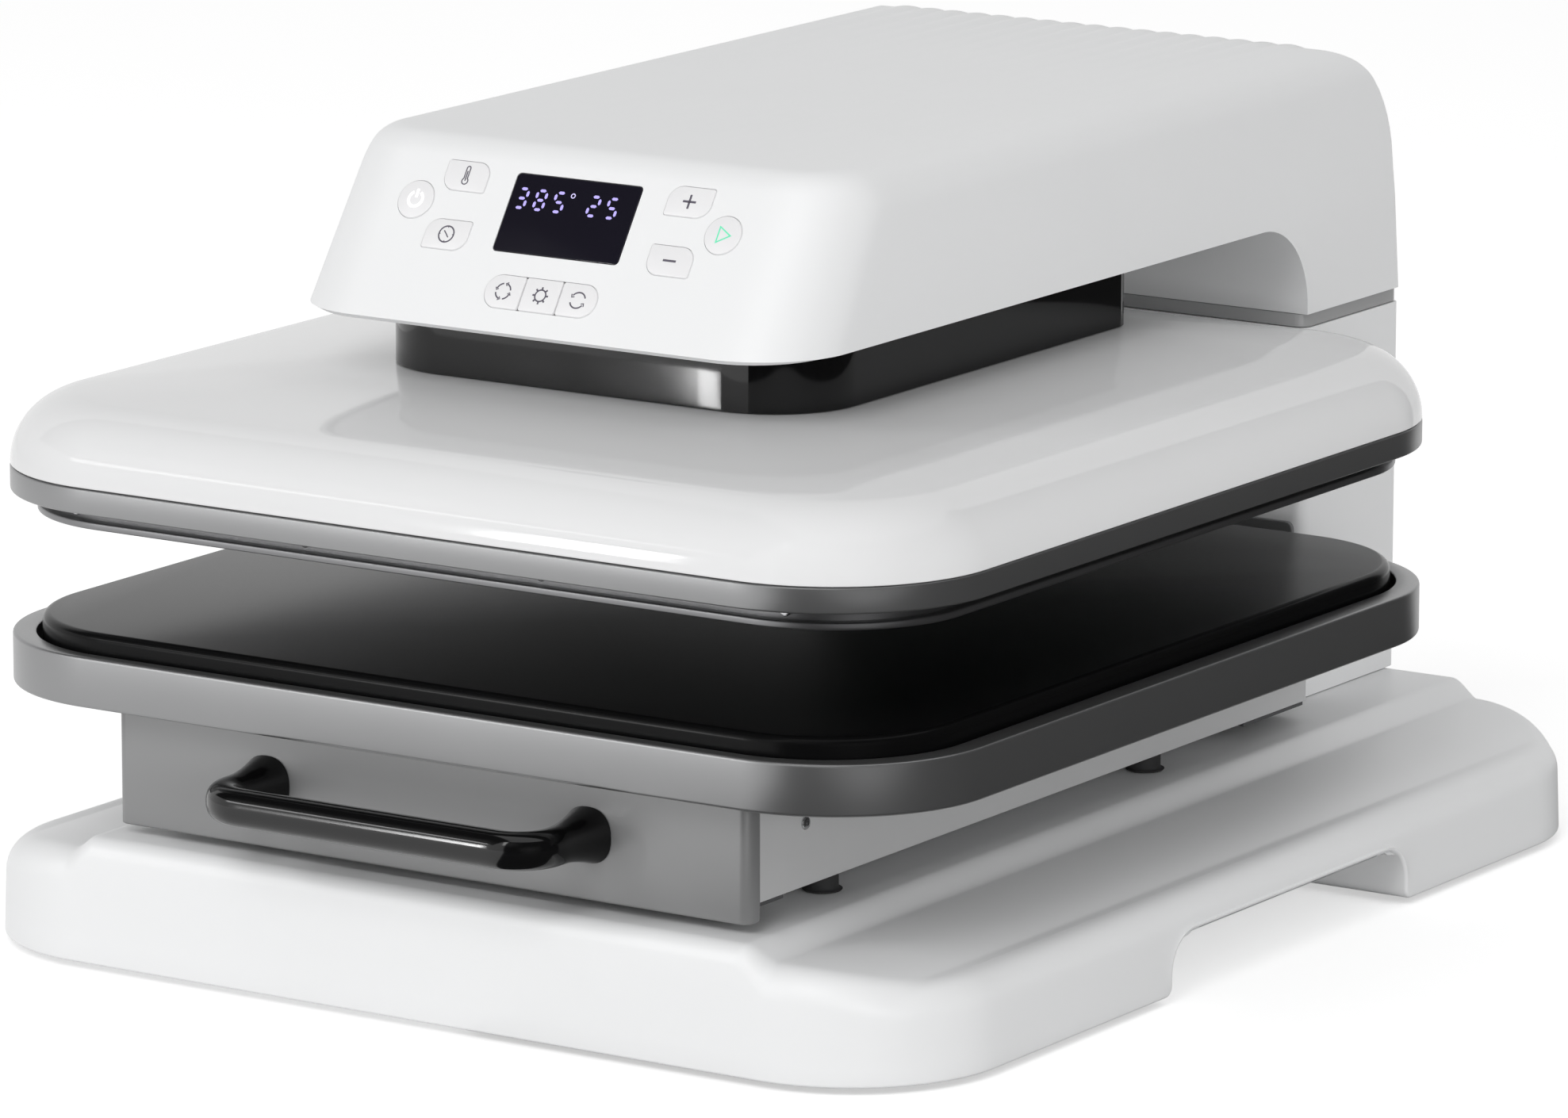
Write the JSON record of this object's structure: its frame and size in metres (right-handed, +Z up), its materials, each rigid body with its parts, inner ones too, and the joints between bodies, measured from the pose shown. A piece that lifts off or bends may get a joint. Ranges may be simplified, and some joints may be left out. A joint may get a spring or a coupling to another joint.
{
  "type": "automatic heat press",
  "caption": "Automatic heat press with a pull-out lower tray, a motor-driven heating head on a rear column and a slanted control panel.",
  "frame": {"origin": "middle of the footprint, on the surface that the feet stand on", "axes": "+Z up, +Y from the drawer handle at the front to the column at the back, +X to the right as seen from the front"},
  "size_m": [0.412, 0.5303, 0.2935],
  "materials": {
    "white_shell": "smooth white moulded plastic",
    "grey_trim": "mid grey plastic trim",
    "dark_plate": "dark grey satin coat",
    "black_gloss": "polished black plastic",
    "black_rubber": "black rubber",
    "pad_black": "smooth black silicone",
    "panel_grey": "grey satin coat",
    "sheet_steel": "zinc plated sheet",
    "machined_steel": "ground steel",
    "cast_aluminium": "coated cast aluminium",
    "bronze": "bearing bronze",
    "motor_black": "black moulded housing",
    "board_green": "green circuit board",
    "board_mineral": "pale mineral fibre board",
    "display_glass": "smoked display window",
    "key_white": "white moulded key"
  },
  "bodies": {
    "press_frame": {"base_shell": "white_shell", "column_shell": "white_shell", "head_shell": "white_shell", "head_floor": "white_shell", "base_plate": "sheet_steel", "post_left": "sheet_steel", "post_right": "sheet_steel", "head_frame": "sheet_steel", "slide_chassis": "sheet_steel", "foot_front_left": "black_rubber", "foot_front_right": "black_rubber", "foot_rear_left": "black_rubber", "foot_rear_right": "black_rubber", "chassis_mount_front_left": "black_rubber", "chassis_mount_front_right": "black_rubber", "chassis_mount_rear_left": "black_rubber", "chassis_mount_rear_right": "black_rubber", "column_front_panel": "dark_plate", "chassis_strap_front": "dark_plate", "chassis_strap_rear": "dark_plate", "trim_band": "grey_trim", "drive_motor": "motor_black", "mains_inlet": "motor_black", "neck_liner": "motor_black", "guide_bush_left": "bronze", "guide_bush_right": "bronze", "rail_outer_left": "machined_steel", "rail_outer_right": "machined_steel", "display_lens": "display_glass", "control_board": "board_green"},
    "heat_head": {"heating_platen": "cast_aluminium", "platen_band": "dark_plate", "platen_cover": "white_shell", "neck_skirt": "black_gloss", "carriage_plate": "sheet_steel", "heating_element": "machined_steel", "insulation_board": "board_mineral", "screw_nut": "bronze", "guide_rod_left": "machined_steel", "guide_rod_right": "machined_steel"},
    "lead_screw": {"leadscrew": "machined_steel"},
    "drawer": {"drawer_tray": "dark_plate", "press_pad": "pad_black", "drawer_carriage": "sheet_steel", "drawer_front": "panel_grey", "drawer_handle": "black_gloss", "rail_inner_left": "machined_steel", "rail_inner_right": "machined_steel"},
    "middle_rail_left": {"rail_middle_left": "machined_steel"},
    "middle_rail_right": {"rail_middle_right": "machined_steel"},
    "power_key_body": {"power_key": "key_white"},
    "start_key_body": {"start_key": "key_white"},
    "temperature_key_body": {"temperature_key": "key_white"},
    "time_key_body": {"time_key": "key_white"},
    "plus_key_body": {"plus_key": "key_white"},
    "minus_key_body": {"minus_key": "key_white"},
    "cycle_key_body": {"cycle_key": "key_white"},
    "settings_key_body": {"settings_key": "key_white"},
    "auto_key_body": {"auto_key": "key_white"},
    "rocker_body": {"mains_rocker": "black_gloss"}
  },
  "joints": [
    {"name": "head_lift", "type": "slide", "parent": "press_frame", "child": "heat_head", "axis": [0, 0, 1], "range_m": [-0.0369, 0]},
    {"name": "leadscrew_turn", "type": "hinge", "parent": "press_frame", "child": "lead_screw", "pos_m": [0, -0.03669, 0.2325], "axis": [0, 0, 1], "range_deg": [-2660, 0]},
    {"name": "drawer_slide", "type": "slide", "parent": "press_frame", "child": "drawer", "axis": [0, -1, 0], "range_m": [0, 0.25]},
    {"name": "middle_rail_left_slide", "type": "slide", "parent": "press_frame", "child": "middle_rail_left", "axis": [0, -1, 0], "range_m": [0, 0.125]},
    {"name": "middle_rail_right_slide", "type": "slide", "parent": "press_frame", "child": "middle_rail_right", "axis": [0, -1, 0], "range_m": [0, 0.125]},
    {"name": "power_key_press", "type": "slide", "parent": "press_frame", "child": "power_key_body", "axis": [0, 0.8333, -0.5528], "range_m": [0, 0.0008], "stiffness_N_per_m": 900},
    {"name": "start_key_press", "type": "slide", "parent": "press_frame", "child": "start_key_body", "axis": [0, 0.8333, -0.5528], "range_m": [0, 0.0008], "stiffness_N_per_m": 900},
    {"name": "temperature_key_press", "type": "slide", "parent": "press_frame", "child": "temperature_key_body", "axis": [0, 0.8333, -0.5528], "range_m": [0, 0.0008], "stiffness_N_per_m": 900},
    {"name": "time_key_press", "type": "slide", "parent": "press_frame", "child": "time_key_body", "axis": [0, 0.8333, -0.5528], "range_m": [0, 0.0008], "stiffness_N_per_m": 900},
    {"name": "plus_key_press", "type": "slide", "parent": "press_frame", "child": "plus_key_body", "axis": [0, 0.8333, -0.5528], "range_m": [0, 0.0008], "stiffness_N_per_m": 900},
    {"name": "minus_key_press", "type": "slide", "parent": "press_frame", "child": "minus_key_body", "axis": [0, 0.8333, -0.5528], "range_m": [0, 0.0008], "stiffness_N_per_m": 900},
    {"name": "cycle_key_press", "type": "slide", "parent": "press_frame", "child": "cycle_key_body", "axis": [0, 0.8333, -0.5528], "range_m": [0, 0.0008], "stiffness_N_per_m": 900},
    {"name": "settings_key_press", "type": "slide", "parent": "press_frame", "child": "settings_key_body", "axis": [0, 0.8333, -0.5528], "range_m": [0, 0.0008], "stiffness_N_per_m": 900},
    {"name": "auto_key_press", "type": "slide", "parent": "press_frame", "child": "auto_key_body", "axis": [0, 0.8333, -0.5528], "range_m": [0, 0.0008], "stiffness_N_per_m": 900},
    {"name": "mains_rocker_turn", "type": "hinge", "parent": "press_frame", "child": "rocker_body", "pos_m": [0, 0.26111, 0.1015], "axis": [1, 0, 0], "range_deg": [-12, 0]}
  ],
  "couplings": [
    {"joint": "leadscrew_turn", "follows": "head_lift", "rad_per_m": 1256.6},
    {"joint": "middle_rail_left_slide", "follows": "drawer_slide", "ratio": 0.5},
    {"joint": "middle_rail_right_slide", "follows": "drawer_slide", "ratio": 0.5}
  ]
}
